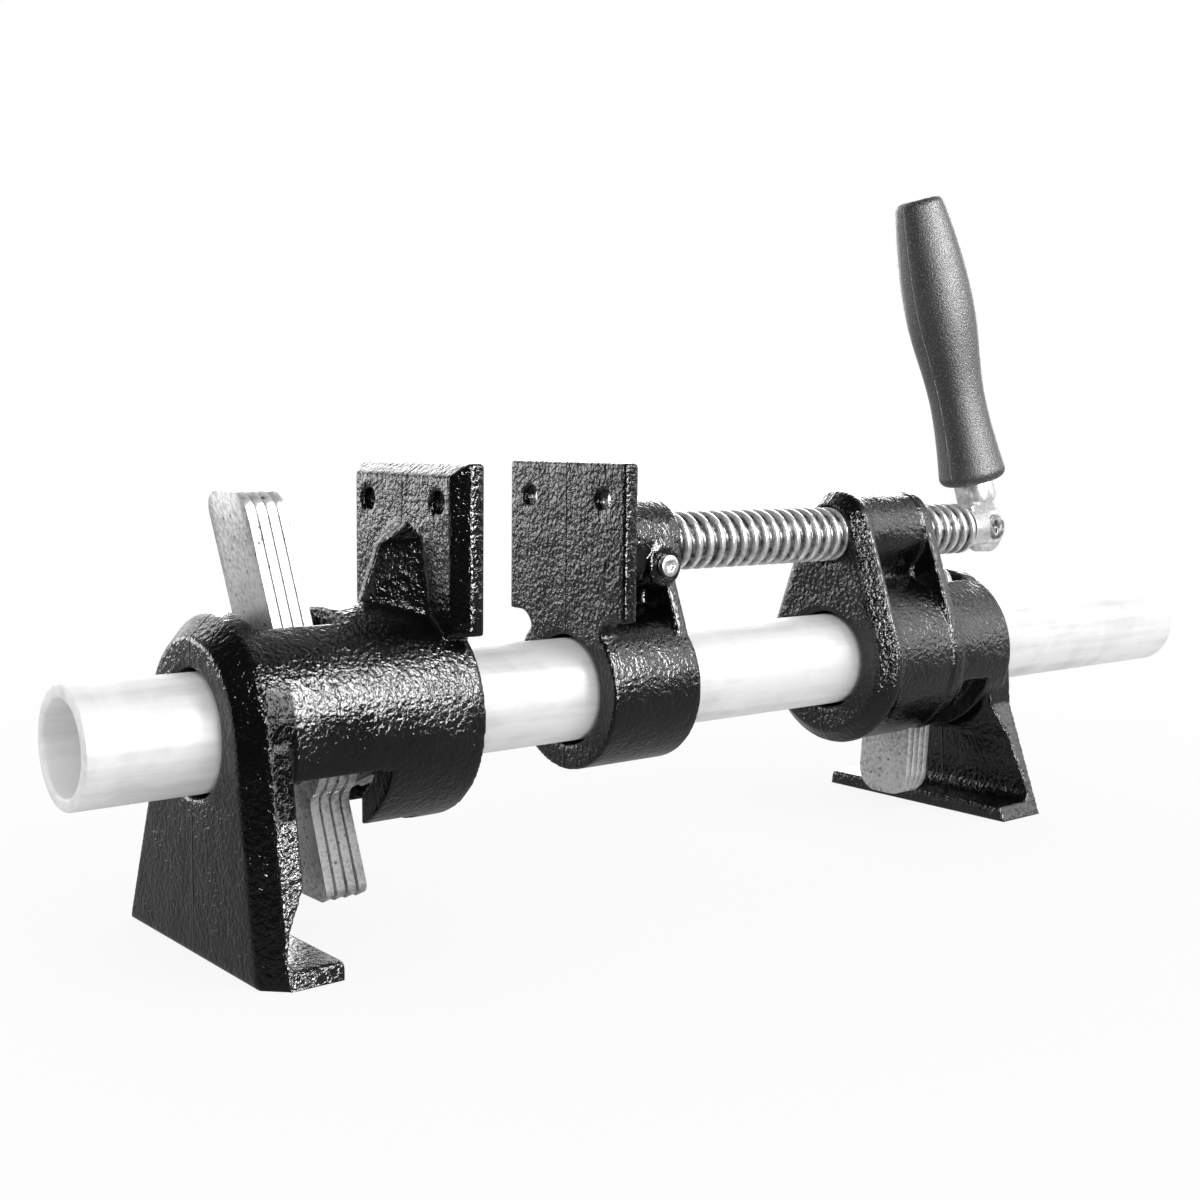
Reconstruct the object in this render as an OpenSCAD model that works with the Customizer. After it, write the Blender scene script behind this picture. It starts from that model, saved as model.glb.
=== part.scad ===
// Woodworking pipe clamp: a tail head and a screw head on one steel pipe.
// Millimetres, +Z up, +X from the tail head to the handle, origin on the bench
// under the middle of the pipe.

/* [Pipe] */
// Length of the pipe
pipe_len = 400; // [380:1:520]
// Outside diameter of the pipe
pipe_od = 26.7; // [26.2:0.1:27.2]
// Wall of the pipe
pipe_wall = 2.9; // [1.6:0.1:3.6]
// Height of the pipe's axis above the bench
pipe_z = 49.5; // [49.0:0.1:54.0]
// Room round the pipe in every casting's bore
pipe_room = 0.95; // [0.4:0.05:1.2]

/* [Head positions] */
// Outer face of the tail head, from the middle of the pipe
tail_outer_x = 171.5; // [160.0:0.5:171.5]
// Outer face of the screw head, from the middle of the pipe
screw_outer_x = 93.0; // [92.0:0.5:99.0]
// Front face of the sliding jaw, from the middle of the pipe towards the tail
jaw_face_x = 68.0; // [67.0:0.5:69.0]

/* [Tail head] */
// Outside radius of the tail head's collar
tail_collar_r = 26; // [25.0:0.1:27.0]
// Length of the collar
tail_collar_len = 60.5; // [59.5:0.1:61.0]
// Bevel round the outer face
tail_bevel = 5; // [2.0:0.1:5.5]
// Half the width across the foot
foot_half_w = 34.8; // [32.0:0.1:37.0]
// Distance of a leg's upright flank from the pipe's axis
leg_flank_w = 22.3; // [21.5:0.1:23.0]
// Depth below the axis at which that flank turns outwards to the foot's corner
leg_flank_z = 16.1; // [15.0:0.1:18.0]
// Length of the foot plate
tail_foot_len = 18.4; // [16.0:0.1:19.5]
// Thickness of the foot plate
tail_foot_t = 4; // [3.0:0.1:5.0]
// Thickness of the leg below the pipe
tail_leg_t = 10.4; // [9.5:0.1:11.5]
// Thickness of the leg above the foot
tail_ankle_t = 5.2; // [4.5:0.1:8.0]
// Depth below the pipe's axis at which the leg starts to taper
tail_taper_z = 29; // [27.0:0.5:31.0]
// Thickness of the leg at its knee
tail_knee_t = 6.6; // [5.6:0.1:8.0]
// Depth of the knee below the pipe's axis
tail_knee_z = 37; // [35.0:0.5:39.0]
// Radius of the chamber for the clutch plates
chamber_r = 19.5; // [19.3:0.05:20.2]
// Wall of the collar in front of the chamber
chamber_wall = 12; // [10.5:0.1:12.5]
// Far end of the tail head's chamber
tail_chamber_end = 48; // [47.0:0.1:49.0]
// Near edge of the slot in the top of the collar
tail_slot_near = 10.3; // [9.6:0.1:11.0]
// Far edge of the slot in the top of the collar
tail_slot_far = 32.3; // [31.8:0.1:34.0]
// Half the width of the slot in the top
slot_half_w = 11; // [10.2:0.1:12.5]
// Near edge of the opening under the collar
tail_gap_near = 12.2; // [11.6:0.1:13.0]
// Far edge of the opening under the collar
tail_gap_far = 36.3; // [36.2:0.1:37.0]
// Level of the cut under the collar, below the axis
tail_gap_z = 8.2; // [7.5:0.1:9.5]
// Half the width of the slot for the lower ears, under the collar
tail_ear_slot_w = 10.7; // [10.0:0.1:12.0]
// Far end of that slot
tail_ear_slot_far = 51.5; // [49.5:0.1:53.0]

/* [Jaw plates] */
// Half the width of a jaw plate
jaw_half_w = 23.7; // [21.5:0.1:25.0]
// Top of the jaw plates above the pipe's axis
jaw_top_z = 58.9; // [56.5:0.1:64.0]
// Bottom of the jaw plates above the pipe's axis
jaw_bottom_z = 19.3; // [18.0:0.1:20.5]
// Thickness of the tail jaw plate behind its face
tail_jaw_t = 7.5; // [6.5:0.1:8.5]
// Thickness at the rim of the tail jaw plate
tail_jaw_rim_t = 3.6; // [2.6:0.1:4.4]
// Bevel from the rim to the back of the tail jaw plate
tail_jaw_bevel = 3; // [1.6:0.1:3.5]
// Distance by which the jaw face stands in front of the collar
tail_jaw_proud = 1; // [0.5:0.1:2.0]
// Radius of the holes for wooden jaw pads
pad_hole_r = 2.5; // [1.5:0.1:3.0]
// Spacing of the two pad holes
pad_hole_pitch = 30; // [26.0:0.5:34.0]
// Height of the pad holes above the pipe's axis
pad_hole_z = 49.7; // [45.0:0.1:53.0]
// Start of the brace behind the tail jaw
brace_start = 43; // [41.0:0.1:45.0]
// Middle of the brace's ridge
brace_knee = 47.8; // [46.0:0.1:49.5]
// Height of the brace's start
brace_start_z = 27; // [26.2:0.1:29.0]
// Height of the brace's knee
brace_knee_z = 40.1; // [36.0:0.1:42.0]
// Height of the brace's top
brace_top_z = 44.7; // [43.5:0.1:50.0]
// Half the width of the brace's ridge
brace_ridge_w = 1.5; // [1.0:0.1:3.0]
// Half the width of the brace's top on the jaw plate
brace_top_w = 3; // [2.0:0.1:5.0]
// Half the width of the brace's shoulder on the jaw plate
brace_shoulder_w = 9.5; // [7.0:0.1:11.0]
// Height of that shoulder
brace_shoulder_z = 41; // [38.0:0.1:42.5]
// Half the width of the brace's foot
brace_foot_w = 14; // [12.0:0.1:17.0]

/* [Sliding jaw] */
// Thickness of the sliding jaw's plate
slide_jaw_t = 4.3; // [3.5:0.1:5.5]
// Length of the sliding jaw along the pipe
slide_jaw_len = 29.5; // [27.0:0.1:30.0]
// Outside radius of the ring round the pipe
slide_ring_r = 20.9; // [19.0:0.1:21.5]
// Outside radius of the boss round the spindle's nose
slide_boss_r = 12.3; // [11.5:0.1:13.0]
// Half the width of the neck between the plate and the ring
neck_half_w = 14.3; // [13.0:0.1:15.5]
// Radius of the corner between the plate and the neck
jaw_corner_r = 5.5; // [4.0:0.1:6.0]
// Half the width of the rear wall at its foot
rear_foot_w = 17; // [14.0:0.1:18.5]
// Half the width of the rear wall at the boss
rear_top_w = 9; // [8.0:0.1:11.5]
// Thickness of the rear wall
rear_wall_t = 4; // [3.0:0.1:5.0]
// Half the thickness of the web in the middle
web_half_t = 2.5; // [1.5:0.1:4.0]
// Radius of the pad under the retaining screw's head
lug_r = 5.6; // [4.9:0.1:6.2]
// Distance of that pad's face from the middle of the jaw
lug_reach = 12.9; // [12.5:0.1:13.5]

/* [Screw head] */
// Outside radius of the screw head's collar
screw_collar_r = 25; // [24.0:0.1:25.4]
// Bevel round the outer face
screw_bevel = 4.5; // [2.0:0.1:4.8]
// Length of the screw head
screw_len = 62.3; // [61.0:0.1:64.0]
// Length of the foot plate
screw_foot_len = 18.9; // [16.0:0.1:20.0]
// Thickness of the foot plate
screw_foot_t = 4.3; // [3.0:0.1:5.0]
// Thickness of the leg below the pipe
screw_leg_t = 10; // [9.0:0.1:11.5]
// Depth below the pipe's axis at which the leg starts to taper
screw_taper_z = 16.5; // [15.0:0.5:18.0]
// Thickness of the leg at its knee
screw_knee_t = 5.2; // [4.4:0.1:6.5]
// Depth of the knee below the pipe's axis
screw_knee_z = 27; // [25.0:0.5:30.0]
// Thickness of the leg above the foot
screw_ankle_t = 3.4; // [3.0:0.1:4.2]
// Thickness of the front plate
front_plate_t = 6; // [5.0:0.1:8.0]
// Bevel round the front plate
front_bevel = 4; // [2.0:0.1:4.5]
// Radius of the plates round the pipe
plate_low_r = 25.5; // [24.6:0.1:26.5]
// Radius of the plates round the spindle
plate_high_r = 12.8; // [12.6:0.1:13.8]
// Near face of the second plate, from the outer face
rib_plate_near = 28.3; // [27.5:0.1:30.0]
// Thickness of the second plate
rib_plate_t = 4; // [3.0:0.1:5.0]
// Radius of the boss round the spindle
screw_boss_r = 12.5; // [11.5:0.1:12.7]
// Half the width of the web between boss and collar
screw_web_w = 8; // [5.0:0.1:9.5]
// Chamber wall in front of the clutch plates
screw_chamber_near = 11; // [10.2:0.1:11.6]
// Far end of the chamber
screw_chamber_end = 45; // [44.0:0.1:46.0]
// Face of the step that the inner plate bears on
bearing_near = 32.5; // [32.3:0.1:32.8]
// Thickness of that step
bearing_t = 3; // [2.0:0.1:3.2]
// Near edge of the slot in the top of the collar
screw_slot_near = 9.6; // [9.0:0.1:10.2]
// Near edge of the opening round the underside
screw_gap_near = 13.9; // [13.0:0.1:14.5]
// Far edge of the opening round the underside
screw_gap_mid = 25.5; // [25.0:0.1:27.0]
// Far edge of the slot for the lower ears
screw_gap_far = 34.5; // [34.2:0.1:35.5]
// Level below the axis at which the opening starts
screw_gap_z = 7; // [6.5:0.1:8.0]

/* [Clutch plates] */
// Thickness of a clutch plate
clutch_t = 2.1; // [1.6:0.05:2.15]
// Radius of a plate round the pipe
clutch_disc_r = 18.6; // [18.0:0.1:18.9]
// Room between a plate's hole and the pipe
clutch_room = 1.1; // [1.05:0.01:1.3]
// Half the width of a plate's ears
clutch_ear_w = 9.3; // [8.0:0.1:9.6]
// Half the width of the tail plates' lower ears
tail_low_ear_w = 7.9; // [7.4:0.1:9.0]
// Radius of the hollow between a plate's disc and its lower ear
clutch_fillet = 5; // [3.0:0.1:6.0]
// Spacing of the tail head's plates along the pipe
tail_pitch = 2.6; // [2.56:0.01:2.62]
// Spacing of the screw head's plates along the pipe
screw_pitch = 2.5; // [2.48:0.01:2.52]
// Lean of the outermost plate
clutch_lean = 13; // [12.6:0.1:13.2]
// Extra lean of each next plate
clutch_fan = 0.1; // [0:0.05:0.12]
// Depth of the bend below the pipe's axis
clutch_bend_z = 18.4; // [17.4:0.1:19.4]
// Top of the tail plates above the axis
tail_ear_top = 52.7; // [35.0:0.1:53.0]
// Bottom of the tail plates below the axis
tail_ear_bottom = 41.5; // [30.0:0.1:42.0]
// Lean of the tail plates' lower ears
tail_ear_lean = 10.8; // [9.0:0.1:11.4]
// Extra lean of each next lower ear of the tail plates
tail_ear_fan = 0.65; // [0.3:0.05:0.8]
// Top of the screw head's plates above the axis
screw_ear_top = 26; // [25.0:0.1:30.0]
// Bottom of the screw head's plates below the axis
screw_ear_bottom = 43.4; // [30.0:0.1:43.6]
// Lean of the screw head's plates' lower ears
screw_ear_lean = 4; // [3.0:0.1:6.0]
// Corner radius of the tail plates' tops
tail_corner_r = 5.5; // [2.0:0.1:8.0]
// Corner radius of the lower ends
ear_corner_r = 3.5; // [2.0:0.1:8.0]
// Corner radius of the screw head's plates
screw_corner_r = 7; // [2.0:0.1:8.0]
// First tail plate's middle at the axis, from the outer face
tail_plate_start = 21.7; // [21.6:0.05:21.8]
// First screw head plate's middle at the axis, from the outer face
screw_plate_start = 19.6; // [19.5:0.05:19.7]

/* [Springs] */
// Mean radius of the coil springs
spring_r = 16.4; // [16.0:0.1:17.0]
// Wire diameter of the coil springs
spring_wire = 2; // [1.6:0.1:2.2]
// Turns of the tail spring
tail_spring_turns = 3; // [2:0.5:3]
// Turns of the screw head's spring
screw_spring_turns = 2; // [1.5:0.5:2]

/* [Spindle] */
// Height of the spindle's axis above the pipe's axis
spindle_rise = 37.3; // [36.9:0.1:37.6]
// Outside diameter of the thread
spindle_od = 15.9; // [15.4:0.1:16.1]
// Distance from one thread crest to the next
thread_pitch = 4.233; // [3.8:0.001:4.6]
// Depth of the thread
thread_depth = 1.5; // [0.8:0.1:1.8]
// Full rings of thread
thread_rings = 31; // [27:1:31]
// Start of the thread behind the jaw's rear face
thread_start = 1.5; // [1.2:0.1:2.0]
// Radius of the plain nose in the jaw
nose_r = 6.4; // [5.5:0.1:7.0]
// Room round turning and sliding surfaces
running_room = 0.3; // [0.3:0.05:0.4]
// Thickness left in front of the nose
nose_wall = 6; // [5.0:0.1:9.0]
// Radius of the plain outer end
spindle_end_r = 6.0; // [6.0:0.1:6.3]
// Length of the plain outer end
spindle_end_len = 16.6; // [15.5:0.1:18.0]
// Bevel at the outer end
spindle_end_bevel = 1.6; // [1.0:0.1:2.0]

/* [Retaining screw] */
// Distance of the retaining screw below the spindle's axis
retain_drop = 5.2; // [5.1:0.1:5.5]
// Distance of the retaining screw from the jaw's rear face
retain_back = 6.2; // [5.6:0.1:6.8]
// Radius of the retaining screw's shank
retain_r = 2; // [1.6:0.05:2.0]
// Radius of its head
retain_head_r = 2.85; // [2.6:0.05:3.2]
// Height of its head
retain_head_t = 1.8; // [1.4:0.1:2.2]

/* [Handle] */
// Distance of the pivot from the spindle's end
pivot_back = 5.3; // [5.0:0.1:5.6]
// Radius of the pivot screw's shank
pivot_r = 2.4; // [1.8:0.05:2.6]
// Radius of the pivot screw's head
pivot_head_r = 3.9; // [3.4:0.05:4.2]
// Height of the pivot screw's head
pivot_head_t = 1.7; // [1.2:0.1:1.9]
// Running room round the pivot screw
pivot_room = 0.05; // [0.02:0.01:0.1]
// Thickness of the shank's tongue
tongue_t = 4.6; // [4.0:0.1:4.7]
// Room on each side of the tongue
tongue_room = 0.3; // [0.25:0.05:0.35]
// Radius of the tongue's eye
eye_r = 7.9; // [7.5:0.1:7.9]
// Radius of the shank
shank_r = 6.4; // [6.0:0.1:6.5]
// Distance of the shank's shoulder from the pivot
shoulder_len = 8.15; // [8.1:0.05:8.6]
// Bevel of the shoulder
shoulder_bevel = 1.6; // [1.5:0.1:2.0]
// Radius of the tang inside the grip
tang_r = 4.5; // [3.0:0.1:5.5]
// Length of the tang inside the grip
tang_len = 62; // [30.0:0.5:75.0]
// Distance of the grip's lower end from the pivot
grip_start = 15.7; // [14.5:0.1:17.0]
// Length of the grip
grip_len = 91.1; // [85.0:0.1:100.0]
// Radius of the grip's flared lower end
grip_flare_r = 11; // [10.0:0.1:11.5]
// Radius of the grip's waist
grip_waist_r = 8.75; // [8.0:0.05:9.5]
// Radius of the grip's belly
grip_belly_r = 10.9; // [10.0:0.1:11.0]
// Radius of the grip's upper end
grip_top_r = 7.3; // [6.8:0.1:8.5]
// Rounding of the grip's lower end
grip_flare_round = 3; // [1.5:0.1:3.5]
// Rounding of the grip's upper end
grip_top_round = 1.6; // [1.0:0.1:2.5]
// Lean of the handle towards the screw head
handle_lean = 15; // [14.0:0.5:15.5]
// Turn of the spindle and handle about the spindle's axis
handle_turn = 4.65; // [0:0.05:10]

/* [Hidden] */
$fn = 96;
// A small overlap, so that cuts run past a face and joined solids share volume
over = pipe_wall / 6;
pipe_r = pipe_od / 2;
bore_r = pipe_r + pipe_room;
clutch_hole_r = pipe_r + clutch_room;
tail_face_u = tail_collar_len + tail_jaw_proud;
tail_jaw_back_u = tail_face_u - tail_jaw_t;
gusset_low_z = jaw_bottom_z - 2 * over;
// The straight sides of a drop stand in by this much, so that they cross its round ends
side_inset = over / 8;
// The thread's flat crest and root, as shares of the pitch
crest_share = 0.3;
flank_share = 0.25;
spindle_r = spindle_od / 2;
root_r = spindle_r - thread_depth;
// The spindle's own lengths, from the jaw's rear face
nose_len = slide_jaw_len - nose_wall - running_room;
neck_end = thread_start - thread_pitch / 2;
thread_end = thread_start + thread_rings * thread_pitch;
spindle_out = thread_end + spindle_end_len;
groove_half_w = retain_r + running_room;
groove_r = retain_drop - retain_r - running_room;
pivot_u = spindle_out - pivot_back;
slot_start = pivot_u - eye_r - 1.5 * running_room;
slot_half_t = tongue_t / 2 + tongue_room;
jaw_rear_x = slide_jaw_len - jaw_face_x;
// Where the waist and the belly of the grip are, as shares of its length
grip_waist_share = 0.29;
grip_belly_share = 0.62;
grip_steps = 40;
// How sharply the two ends of the grip curve away
flare_power = 1.7;
top_power = 1.9;
// Six sides to a spring's wire and eight rings to a turn
wire_sides = 6;
turn_rings = 8;
recess_share = 0.5;
// The level at which the slot for the lower ears starts, as a share of the chamber's radius
ear_slot_share = 0.8;

// Solids along X

module rod(start, end, r) {
    translate([start, 0, 0])
        rotate([0, 90, 0])
            cylinder(h = end - start, r = r);
}

module cone(start, end, r_start, r_end) {
    translate([start, 0, 0])
        rotate([0, 90, 0])
            cylinder(h = end - start, r1 = r_start, r2 = r_end);
}

// A side outline in X and Z, made as wide as half_w on both sides

module side_solid(half_w) {
    rotate([90, 0, 0])
        linear_extrude(2 * half_w, center = true)
            children();
}

// A front outline in Y and Z, run along X

module front_solid(start, end) {
    translate([start, 0, 0])
        rotate([90, 0, 90])
            linear_extrude(end - start)
                children();
}

module box(x_start, x_end, half_w, z_start, z_end) {
    translate([x_start, -half_w, z_start])
        cube([x_end - x_start, 2 * half_w, z_end - z_start]);
}

// The places of the three castings

module at_tail() {
    translate([-tail_outer_x, 0, pipe_z])
        children();
}

module at_screw_head() {
    translate([screw_outer_x, 0, pipe_z])
        mirror([1, 0, 0])
            children();
}

module at_jaw() {
    translate([-jaw_face_x, 0, pipe_z])
        children();
}

module at_spindle() {
    translate([jaw_rear_x, 0, pipe_z + spindle_rise])
        rotate([-handle_turn, 0, 0])
            children();
}

module at_handle() {
    at_spindle()
        translate([pivot_u, 0, 0])
            rotate([0, -handle_lean, 0])
                children();
}

// Legs

function leg_slope(r) = acos(r / norm([foot_half_w, pipe_z])) - atan2(pipe_z, foot_half_w);

// One side runs from the foot's corner to an upright flank, the other touches the collar;
// flank_side is 0 where the flank is at +Y and 1 where it is at -Y
module leg_front(r, flank_side) {
    slope = leg_slope(r);
    way = 1 - 2 * flank_side;
    polygon([
        [way * foot_half_w, -pipe_z],
        [way * leg_flank_w, -leg_flank_z],
        [way * leg_flank_w, 0],
        [-way * r * cos(slope), r * sin(slope)],
        [-way * foot_half_w, -pipe_z]
    ]);
}

module leg_side(top_t, knee_t, ankle_t, taper_z, knee_z, foot_len, foot_t) {
    foot_top = foot_t - pipe_z;
    polygon([
        [0, 0],
        [top_t, 0],
        [top_t, -taper_z],
        [knee_t, -knee_z],
        [ankle_t, foot_top + foot_t / 2],
        [ankle_t + foot_t / 2, foot_top],
        [foot_len, foot_top],
        [foot_len, -pipe_z],
        [0, -pipe_z]
    ]);
}

// A bevel of 45 degrees down an edge of a leg; side is 0 for +Y and 1 for -Y
module leg_edge_cut(bevel, tilt, out, reach, side) {
    mirror([0, side, 0])
        rotate([tilt, 0, 0])
            translate([0, out, -reach])
                rotate([0, 0, 45])
                    translate([-bevel, 0, 0])
                        cube([4 * bevel, 3 * bevel, reach]);
}

// The collar's bevel goes down one edge to the foot, and fades out along the flank of the other
module leg(r, bevel, top_t, knee_t, ankle_t, taper_z, knee_z, foot_len, foot_t, flank_side) {
    narrow = r - bevel - side_inset;
    fade = leg_flank_w - narrow;
    fade_tilt = atan(fade / leg_flank_z);
    difference() {
        intersection() {
            front_solid(-over, foot_len + over)
                leg_front(r, flank_side);
            side_solid(2 * foot_half_w)
                leg_side(top_t, knee_t, ankle_t, taper_z, knee_z, foot_len, foot_t);
        }
        leg_edge_cut(bevel, leg_slope(r), r - bevel, 2 * pipe_z, 1 - flank_side);
        leg_edge_cut(
            bevel, fade_tilt, narrow * cos(fade_tilt), norm([fade, leg_flank_z]), flank_side
        );
    }
}

module collar(r, bevel, len) {
    cone(0, bevel, r - bevel, r);
    rod(bevel, len, r);
}

// Clutch plates

module clutch_outline(top, bottom, top_corner, bottom_corner, low_w) {
    neck_y = low_w + clutch_fillet;
    neck_z = sqrt(pow(clutch_disc_r + clutch_fillet, 2) - pow(neck_y, 2));
    touch_share = clutch_disc_r / (clutch_disc_r + clutch_fillet);
    difference() {
        union() {
            circle(clutch_disc_r);
            translate([-clutch_ear_w, 0])
                square([2 * clutch_ear_w, top - top_corner]);
            translate([top_corner - clutch_ear_w, 0])
                square([2 * (clutch_ear_w - top_corner), top]);
            translate([-low_w, bottom_corner - bottom])
                square([2 * low_w, bottom - bottom_corner]);
            translate([bottom_corner - low_w, -bottom])
                square([2 * (low_w - bottom_corner), bottom]);
            for (side = [-1, 1]) {
                translate([side * (clutch_ear_w - top_corner), top - top_corner])
                    circle(top_corner);
                translate([side * (low_w - bottom_corner), bottom_corner - bottom])
                    circle(bottom_corner);
            }
            polygon([
                [-neck_y, -neck_z],
                [neck_y, -neck_z],
                [neck_y * touch_share, -neck_z * touch_share],
                [0, 0],
                [-neck_y * touch_share, -neck_z * touch_share]
            ]);
        }
        for (side = [-1, 1])
            translate([side * neck_y, -neck_z])
                circle(clutch_fillet - side_inset);
        circle(clutch_hole_r);
    }
}

// A plate in its own plane, with the lower ear bent by bend degrees
module clutch_plate(top, bottom, bend, top_corner, bottom_corner, low_w) {
    half_t = clutch_t / 2;
    drop = bottom - clutch_bend_z;
    swing = drop * tan(bend);
    mitre = half_t * tan(bend / 2);
    across = half_t / cos(bend);
    intersection() {
        front_solid(-clutch_disc_r, clutch_disc_r)
            clutch_outline(top, bottom, top_corner, bottom_corner, low_w);
        side_solid(clutch_disc_r + over)
            polygon([
                [-half_t, top + over],
                [half_t, top + over],
                [half_t, -clutch_bend_z + mitre],
                [across - swing, -bottom],
                [-across - swing, -bottom],
                [-half_t, -clutch_bend_z - mitre]
            ]);
    }
}

module leaning_plate(index, place, ear_lean, top, bottom, top_corner, bottom_corner, low_w) {
    lean = clutch_lean + index * clutch_fan;
    translate([place, 0, 0])
        rotate([0, -lean, 0])
            clutch_plate(
                top / cos(lean), bottom / cos(lean), lean - ear_lean, top_corner, bottom_corner,
                low_w
            );
}

module tail_plate(index) {
    color([0.78, 0.79, 0.80])
        at_tail()
            leaning_plate(
                index, tail_plate_start + index * tail_pitch, tail_ear_lean + index * tail_ear_fan,
                tail_ear_top, tail_ear_bottom, tail_corner_r, ear_corner_r, tail_low_ear_w
            );
}

module screw_plate(index) {
    color([0.78, 0.79, 0.80])
        at_screw_head()
            leaning_plate(
                index, screw_plate_start + index * screw_pitch, screw_ear_lean,
                screw_ear_top, screw_ear_bottom, screw_corner_r, screw_corner_r, clutch_ear_w
            );
}

// Springs

// The middle of the wire at ring i of a spring with a straight run at both ends
function wire_middle(i, rings, pitch) =
    let (
        turn = 360 / turn_rings * i,
        end_turn = 360 / turn_rings * rings,
        run = spring_wire
    )
    i < 0 ? [0, spring_r, -run]
    : i > rings ? [pitch * rings / turn_rings, spring_r * cos(end_turn), spring_r * sin(end_turn)]
        + run * [0, -sin(end_turn), cos(end_turn)]
    : [pitch * i / turn_rings, spring_r * cos(turn), spring_r * sin(turn)];

// The way out from the spring's axis at ring i
function wire_out(i, rings) =
    let (turn = 360 / turn_rings * max(0, min(rings, i)))
    [0, cos(turn), sin(turn)];

function wire_points(rings, pitch) = [
    for (i = [-1 : rings + 1])
        for (k = [0 : wire_sides - 1])
            wire_middle(i, rings, pitch)
                + spring_wire / 2 * cos(360 / wire_sides * k) * wire_out(i, rings)
                + spring_wire / 2 * sin(360 / wire_sides * k) * [1, 0, 0]
];

function wire_faces(count) = [
    [for (k = [0 : wire_sides - 1]) k],
    for (i = [0 : count - 2])
        for (k = [0 : wire_sides - 1])
            let (next = (k + 1) % wire_sides)
            [
                i * wire_sides + k, (i + 1) * wire_sides + k,
                (i + 1) * wire_sides + next, i * wire_sides + next
            ],
    [for (k = [wire_sides - 1 : -1 : 0]) (count - 1) * wire_sides + k]
];

// The least distance between wires one turn apart
function self_gap(rings, pitch) = min([
    for (i = [0 : rings - turn_rings])
        norm(wire_middle(i, rings, pitch) - wire_middle(i + turn_rings, rings, pitch))
            - spring_wire
]);

module coil(start, end, turns) {
    rings = turn_rings * turns;
    pitch = (end - start - spring_wire - 2 * running_room) / turns;
    echo(spring_turns = turns, self_gap = self_gap(rings, pitch));
    color([0.70, 0.71, 0.72])
        translate([start + spring_wire / 2 + running_room, 0, 0])
            polyhedron(points = wire_points(rings, pitch), faces = wire_faces(rings + 3));
}

// The tail head and its parts

module tail_jaw_plate() {
    rim_u = tail_face_u - tail_jaw_rim_t;
    intersection() {
        side_solid(jaw_half_w)
            polygon([
                [tail_jaw_back_u, jaw_bottom_z],
                [tail_face_u, jaw_bottom_z],
                [tail_face_u, jaw_top_z],
                [rim_u, jaw_top_z],
                [tail_jaw_back_u, jaw_top_z - tail_jaw_bevel]
            ]);
        linear_extrude(2 * jaw_top_z)
            polygon([
                [tail_jaw_back_u, jaw_half_w - tail_jaw_bevel],
                [rim_u, jaw_half_w],
                [tail_face_u, jaw_half_w],
                [tail_face_u, -jaw_half_w],
                [rim_u, -jaw_half_w],
                [tail_jaw_back_u, tail_jaw_bevel - jaw_half_w]
            ]);
    }
}

// The brace's corners on one side of the middle: ridge from foot to top, then shoulder and base
function brace_side(side) = [
    [brace_start, side * brace_ridge_w, gusset_low_z],
    [brace_start, side * brace_ridge_w, brace_start_z],
    [brace_knee, side * brace_ridge_w, brace_knee_z],
    [tail_jaw_back_u + over, side * brace_top_w, brace_top_z],
    [tail_jaw_back_u + over, side * brace_shoulder_w, brace_shoulder_z],
    [tail_jaw_back_u + over, side * brace_foot_w, gusset_low_z]
];

module tail_brace() {
    polyhedron(
        points = concat(brace_side(-1), brace_side(1)),
        faces = [
            [6, 7, 1, 0], [7, 8, 2, 1], [8, 9, 3, 2], [9, 10, 11, 5, 4, 3], [5, 11, 6, 0],
            [1, 5, 0], [4, 5, 1], [2, 4, 1], [3, 4, 2],
            [11, 7, 6], [11, 10, 7], [10, 8, 7], [10, 9, 8]
        ]
    );
}

module pad_holes(start, end) {
    for (side = [-1, 1])
        translate([0, side * pad_hole_pitch / 2, pad_hole_z])
            rod(start - over, end + over, pad_hole_r);
}

module tail_head() {
    low = 2 * tail_foot_t - pipe_z;
    color([0.09, 0.09, 0.10])
        at_tail()
            difference() {
                union() {
                    collar(tail_collar_r, tail_bevel, tail_collar_len);
                    leg(
                        tail_collar_r, tail_bevel, tail_leg_t, tail_knee_t, tail_ankle_t,
                        tail_taper_z, tail_knee_z, tail_foot_len, tail_foot_t, 0
                    );
                    tail_jaw_plate();
                    tail_brace();
                }
                rod(-over, tail_face_u + over, bore_r);
                rod(chamber_wall, tail_chamber_end, chamber_r);
                box(tail_slot_near, tail_slot_far, slot_half_w, 0, tail_collar_r + over);
                box(tail_gap_near, tail_gap_far, 2 * foot_half_w, low, -tail_gap_z);
                box(tail_gap_near, tail_ear_slot_far, tail_ear_slot_w, low, -tail_gap_z);
                pad_holes(tail_jaw_back_u, tail_face_u);
            }
}

module tail_clutch_plate_1() {
    tail_plate(0);
}

module tail_clutch_plate_2() {
    tail_plate(1);
}

module tail_clutch_plate_3() {
    tail_plate(2);
}

module tail_clutch_plate_4() {
    tail_plate(3);
}

module tail_spring() {
    at_tail()
        coil(tail_gap_far, tail_chamber_end, tail_spring_turns);
}

// The screw head and its parts

// The drop-shaped outline round the pipe and the spindle
module drop_outline() {
    lean = asin((plate_low_r - plate_high_r) / spindle_rise);
    low_side = plate_low_r - side_inset;
    high_side = plate_high_r - side_inset;
    circle(plate_low_r);
    translate([0, spindle_rise])
        circle(plate_high_r);
    polygon([
        [low_side * cos(lean), low_side * sin(lean)],
        [high_side * cos(lean), spindle_rise + high_side * sin(lean)],
        [-high_side * cos(lean), spindle_rise + high_side * sin(lean)],
        [-low_side * cos(lean), low_side * sin(lean)]
    ]);
}

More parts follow.
